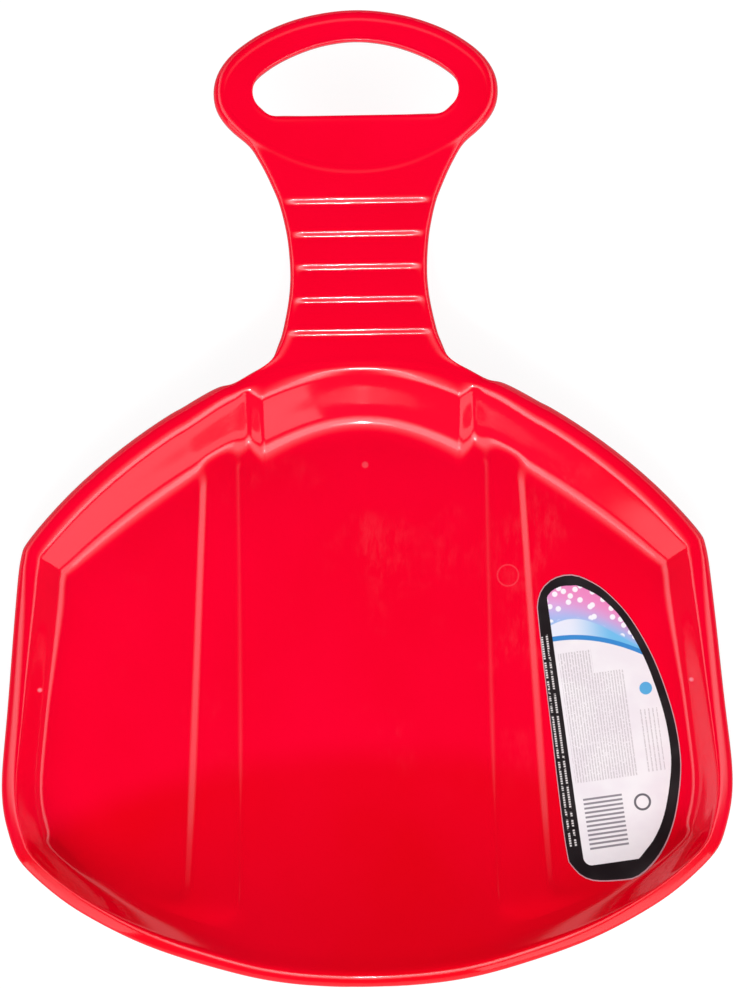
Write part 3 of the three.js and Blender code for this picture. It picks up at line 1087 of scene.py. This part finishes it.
red = Finish(bpy.data.materials.new("red_moulded_plastic"))
place = red.node("ShaderNodeTexCoord").part("Object")
plan = red.plan(place)
clouds = red.noise(place, 9, 3)
haze = red.noise(place, 38, 4, 0.6)
grit = red.noise(place, 420, 3, 0.6)
swirl = red.noise(place, 3.1, 2)
streaks = red.noise(red.moved(place, 35, streak_stretch), 300, 4, 0.65)
cross_streaks = red.noise(red.moved(place, -50, streak_stretch), 260, 4, 0.65)
floor_length = plan[1].rise(*rubbed_rear) * plan[1].rise(*rubbed_front, 1, 0)
floor_share = floor_length * plan[0].size().rise(*rubbed_side, 1, 0)
rubbed = red.noise(place, 14, 4, 0.6).rise(0.5, 0.7) * floor_share
scuffs = rubbed * (streaks.larger(cross_streaks) * 0.6 + haze * 0.6).rise(0.56, 0.8)
# Painted shade: the red darkens behind a line across the rear that bends back at the sides, following the floor's
# sweep
painted_rear_shade = (plan[1] + plan[0] * plan[0] * rear_shade_bend).rise(*rear_shade_edge, 1, 0)
gate_mark = distance(plan, *gate_place).rise(*gate_edge, 1, 0)
ring_mark = (distance(plan, *ring_place) - ring_radius).size().rise(*ring_line, 1, 0)
# Painted highlight: small pale glints on the side walls' nubs, which the bump also raises a little
wall_nubs_and_glints = distance((plan[0].size(), plan[1]), *wall_mark_place).rise(*wall_mark_edge, 1, 0)
marks = scuffs * scuff_paint + gate_mark * gate_paint + ring_mark * ring_paint + wall_nubs_and_glints * wall_glint_paint
base = red.blend(clouds.rise(0.3, 0.7) * clouds_paint + painted_rear_shade * rear_shade_paint, BRIGHT_RED, SHADED_RED)
base = red.blend(marks.smaller(1), base, RUBBED_AND_GLINT_RED)
roughness = (least_rough + haze.rise(0.35, 0.75) * haze_rough + grit.rise(0.4, 0.8) * grit_rough
             + scuffs * scuff_rough)
heights = (swirl * swirl_height + haze * haze_height + grit * grit_height + gate_mark * gate_height
           + ring_mark * ring_height + wall_nubs_and_glints * wall_mark_height + scuffs * scuff_height)
bump = red.node("ShaderNodeBump", {}, {"Strength": 0.12, "Distance": 0.001, "Height": heights})
gloss = red.node("ShaderNodeBsdfPrincipled", {}, {"Base Color": base, "Roughness": roughness, "IOR": 1.5,
                                                  "Normal": bump})
paint(shell, red.show(gloss))

# Satin printed film. Its print is set along the label's straight left edge: a coloured field with snow over a
# hill, a blue line under it, fine plain rules, a block of plain stripes, a disc, a hoop, and two rows of beads in
# the dark border
PAPER, PALE_PAPER = (0.86, 0.79, 0.84, 1), (0.9, 0.85, 0.88, 1)
RULE_INK, STRIPE_INK, HOOP_INK = (0.3, 0.22, 0.25, 1), (0.12, 0.1, 0.13, 1), (0.05, 0.04, 0.06, 1)
DISC_BLUE, LINE_BLUE = (0.1, 0.4, 0.72, 1), (0.04, 0.25, 0.62, 1)
SKY_BLUE, SKY_VIOLET, SKY_PINK = (0.2, 0.52, 0.86, 1), (0.72, 0.42, 0.78, 1), (0.84, 0.24, 0.52, 1)
HILL_WHITE, HILL_BLUE, SNOW_WHITE = (0.86, 0.84, 0.93, 1), (0.16, 0.5, 0.82, 1), (0.95, 0.93, 0.97, 1)
BORDER_BLACK, BEAD_WHITE, CUT_PINK = (0.012, 0.007, 0.009, 1), (0.86, 0.8, 0.8, 1), (0.62, 0.3, 0.35, 1)
print_turn = -6.9

# Blocks of the print in millimetres: from and to across, then from and to along
LONG_RULES = ((101.6, 138.4), (-181, -118))
SHORT_RULES = ((101.6, 121), (-118, -104))
SIDE_RULES = ((144, 155), (-180, -143))
STRIPES = ((104.5, 127.5), (-221, -189.5))
BEAD_ROWS, bead_blur, bead_ends = ((92.9, 94.1), (95.9, 97.1)), 0.15, (-217, -91)

# Pitch and width of what repeats in them
rule_sizes, side_rule_sizes, stripe_sizes, bead_sizes = (1.65, 0.8), (2.4, 0.8), (2.6, 1.2), (1.4, 0.95)
rule_strength, stripe_strength, hoop_strength, bead_strength = 0.42, 0.8, 0.9, 0.85

# Its round parts, the arc under the coloured field, the hill, and the pale field's left side and foot
disc_place, disc_edge = (150, -131), (3.6, 3.9)
hoop_place, hoop_radius, hoop_line = (139, -197), 4.4, (0.5, 0.8)
arc_top, arc_middle, arc_bend, arc_line = -95, 102, 0.0062, (1.3, 1.6)
violet_span, pink_span, pink_lean = (2, 26), (44, 64), 0.3
hill_height, hill_start, hill_turns, hill_wave, hill_span = 7, 96, 0.085, 4, (108, 136)
flakes_per_metre, flake_edge = 150.0, (0.2, 0.28)
field_left, field_foot, corner_round = 99.7, -229, 5
field_border, cut_border = (0.99, 1.0), (0.08, 0.12)

film = Finish(bpy.data.materials.new("printed_film"))
place = film.node("ShaderNodeTexCoord").part("Object")
across, along = film.plan(film.moved(place, print_turn))
edge_share = film.node("ShaderNodeAttribute", {"attribute_name": "edge_share"}).part("Fac")
mottle = film.noise(place, 60, 3)


def block(spans):
    """One inside a block of the print, and nothing outside it."""
    return within(across, *spans[0]) * within(along, *spans[1])


over_arc = along - (arc_top - (across - arc_middle) * (across - arc_middle) * arc_bend)
paper = film.blend(mottle.rise(0.3, 0.7), PAPER, PALE_PAPER)
broken = film.noise(film.moved(place, print_turn, (1, 0.7, 1)), 1400, 1).rise(0.34, 0.46)
fine_rules = broken * rule_lines(across, *rule_sizes) * (block(LONG_RULES) + block(SHORT_RULES))
side_rules = broken * rule_lines(across, *side_rule_sizes) * block(SIDE_RULES)
stripes = rule_lines(along, *stripe_sizes) * block(STRIPES)
disc = distance((across, along), *disc_place).rise(*disc_edge, 1, 0)
hoop = (distance((across, along), *hoop_place) - hoop_radius).size().rise(*hoop_line, 1, 0)
paper = film.blend((fine_rules + side_rules) * rule_strength, paper, RULE_INK)
paper = film.blend(stripes * stripe_strength, paper, STRIPE_INK)
paper = film.blend(disc, paper, DISC_BLUE)
paper = film.blend(hoop * hoop_strength, paper, HOOP_INK)

sky = film.blend(over_arc.rise(*violet_span), SKY_BLUE, SKY_VIOLET)
sky = film.blend((over_arc + across * pink_lean).rise(*pink_span), sky, SKY_PINK)
hill = over_arc - hill_height - ((across - hill_start) * hill_turns).maths("SINE") * hill_wave
ground = film.blend(across.rise(*hill_span), HILL_WHITE, HILL_BLUE)
sky = film.blend(hill.rise(-0.3, 0.3, 0.9, 0), sky, ground)
flakes = film.node("ShaderNodeTexVoronoi", {"voronoi_dimensions": "2D"},
                   {"Vector": place, "Scale": flakes_per_metre})
sky = film.blend(flakes.rise(*flake_edge, 0.9, 0) * hill.rise(0.5, 2), sky, SNOW_WHITE)
print_colour = film.blend(over_arc.rise(-0.1, 0.1), paper, sky)
print_colour = film.blend(over_arc.size().rise(*arc_line, 1, 0), print_colour, LINE_BLUE)

gaps = film.noise(film.moved(place, print_turn, (0.3, 1, 1)), 380, 1).rise(0.4, 0.43)
beads = rule_lines(along, *bead_sizes) * gaps * within(along, *bead_ends)
bead_rows = (within(across, *BEAD_ROWS[0], bead_blur) + within(across, *BEAD_ROWS[1], bead_blur)) * beads
border = film.blend(bead_rows * bead_strength, BORDER_BLACK, BEAD_WHITE)
corner_across = (corner_round - (across - field_left)).larger(0)
corner_along = (corner_round - (along - field_foot)).larger(0)
field = corner_round - (corner_across * corner_across + corner_along * corner_along).power(0.5)
print_colour = film.blend(edge_share.rise(*field_border) * field.rise(-0.1, 0.1), border, print_colour)
print_colour = film.blend(edge_share.rise(*cut_border, 1, 0), print_colour, CUT_PINK)
film_roughness = 0.3 + mottle.rise(0.35, 0.7) * 0.12
waves = film.noise(place, 90, 3)
film_bump = film.node("ShaderNodeBump", {}, {"Strength": 0.1, "Distance": 0.0005, "Height": waves})
satin = film.node("ShaderNodeBsdfPrincipled", {}, {"Base Color": print_colour, "Roughness": film_roughness,
                                                   "Normal": film_bump})
paint(label, film.show(satin))

# Studio light: how bright its parts are, and their places in degrees from straight overhead
ring_light = 1.06
ring_rear_gain = 2.4
ring_end = 62
ring_front_end = 80
ring_blur = 4
horizon_light = 0.08
ceiling_light = 0.02
ceiling_half_across = 1.19
ceiling_half_along = 1.7
ceiling_middle_along = 1.05
ceiling_blur = (0.8, 1.25)
front_blend = (0.05, 0.35)
least_upwards = 0.001


def grey(level):
    return (level, level, level, 1)


def cosine(degrees):
    return math.cos(math.radians(degrees))


# Pale floor that looks white, and keeps the sled's shadow
floor_size = 12
floor_light = 0.9
floor_mirrored = 0.3
floor_paint = 0.8
floor_seen_paint = 0.16
floor_finish = Finish(bpy.data.materials.new("studio_floor"))
rays = floor_finish.node("ShaderNodeLightPath")
seen = rays.part("Is Camera Ray").larger(rays.part("Is Glossy Ray")).larger(rays.part("Is Transmission Ray"))
matt = floor_finish.node("ShaderNodeBsdfDiffuse", {}, {"Color": grey(floor_paint)})
glow_light = rays.part("Is Camera Ray") * (floor_light - floor_mirrored) + floor_mirrored
glow = floor_finish.node("ShaderNodeEmission", {}, {"Color": grey(1), "Strength": glow_light})
pale = floor_finish.node("ShaderNodeBsdfDiffuse", {}, {"Color": grey(floor_seen_paint)})
white = floor_finish.node("ShaderNodeAddShader", {}, [pale, glow])
mixed = floor_finish.node("ShaderNodeMixShader", {}, [seen, matt, white])
bpy.ops.object.select_all(action="DESELECT")
bpy.ops.mesh.primitive_plane_add(size=floor_size)
floor = bpy.context.object
floor.name = "studio_floor"
paint(floor, floor_finish.show(mixed))

# The studio: a pale ring of light all round, with a dark ceiling over and in front of the sled, a dark horizon,
# and a plain white background
studio = Finish(bpy.data.worlds.new("studio"))
direction = studio.node("ShaderNodeTexCoord").part("Generated")
upwards = studio.node("ShaderNodeSeparateXYZ", {}, [direction]).part("Z")
slope = upwards.larger(least_upwards)
across = upwards.part("X") / slope / ceiling_half_across
along = (upwards.part("Y") / slope - ceiling_middle_along) / ceiling_half_along
ceiling = (across * across + along * along).power(0.5).rise(*ceiling_blur, 1, 0)
frontness = upwards.part("Y").rise(*front_blend)
ring_edge = frontness * (cosine(ring_front_end) - cosine(ring_end))
ring = (upwards - ring_edge).rise(cosine(ring_end + ring_blur), cosine(ring_end - ring_blur))
ring = (ring_light + (1 - frontness) * (ring_light * (ring_rear_gain - 1))) * ring + horizon_light
light = ring * (1 - ceiling) + ceiling * ceiling_light
background = studio.node("ShaderNodeLightPath").part("Is Camera Ray")
shown = light * (1 - background) + background
studio_light = studio.node("ShaderNodeBackground", {}, {"Color": grey(1), "Strength": shown})
bpy.context.scene.world = studio.show(studio_light, "ShaderNodeOutputWorld")


def lamp(name, place, target, width, height, brightness, is_round, is_mirrored):
    """A soft lamp, in metres, that faces its target. Its brightness is that of its own surface."""
    light = bpy.data.lights.new(name, "AREA")
    light.shape = "ELLIPSE" if is_round else "RECTANGLE"
    light.size, light.size_y = width, height
    light.energy = brightness * math.pi * width * height * (math.pi / 4 if is_round else 1)
    holder = bpy.data.objects.new(name, light)
    bpy.context.scene.collection.objects.link(holder)
    holder.location = place
    holder.rotation_euler = (Vector(target) - Vector(place)).to_track_quat("-Z", "Y").to_euler()
    holder.visible_camera = False
    holder.visible_glossy = is_mirrored


def round_about(turn, tilt, reach):
    """A place round the sled: turn from the rear towards the right, and tilt from straight overhead."""
    turn, tilt = math.radians(turn), math.radians(tilt)
    return (reach * math.sin(tilt) * math.sin(turn), -reach * math.sin(tilt) * math.cos(turn),
            reach * math.cos(tilt))


sled_middle = (0, 0, 0.02)

# Lamps: turn and tilt in degrees, then how far off, how wide and how high in metres, and how bright
LAMPS = {
    "rear_bulb": (-0.7, 45, 2.98, 0.05, 0.05, 1800),
    "rear_spot": (-0.7, 45, 3, 0.22, 0.22, 25),
    "rear_strip": (-0.5, 45, 3.02, 0.8, 0.16, 5),
    "right_rear_softbox": (32, 80, 3, 2.0, 1.06, 1.6),
    "left_rear_softbox": (-42, 80, 3, 1.1, 1.06, 1.6),
    "front_fill": (180, 68, 3, 2.6, 0.9, 3.4),
    "rear_softbox": (0, 48, 3.1, 2.6, 0.9, 2.3),
}
ROUND_LAMPS = {"rear_bulb", "rear_spot"}
UNMIRRORED_LAMPS = {"front_fill"}
for name, (turn, tilt, reach, width, height, brightness) in LAMPS.items():
    lamp(name, round_about(turn, tilt, reach), sled_middle, width, height, brightness, name in ROUND_LAMPS,
         name not in UNMIRRORED_LAMPS)

# Camera straight above
camera_height = 1.9
camera_turn = -0.94
camera_place = (0.00644, 0.00445, camera_height)
view_width = 0.44
camera_data = bpy.data.cameras.new("camera")
camera_data.sensor_fit = "HORIZONTAL"
camera_data.sensor_width = 36
camera_data.lens = camera_data.sensor_width * camera_height / view_width
camera = bpy.data.objects.new("camera", camera_data)
bpy.context.scene.collection.objects.link(camera)
camera.location = camera_place
camera.rotation_euler = (0, 0, math.radians(camera_turn))
bpy.context.scene.camera = camera
bpy.context.scene.view_settings.view_transform = "Standard"
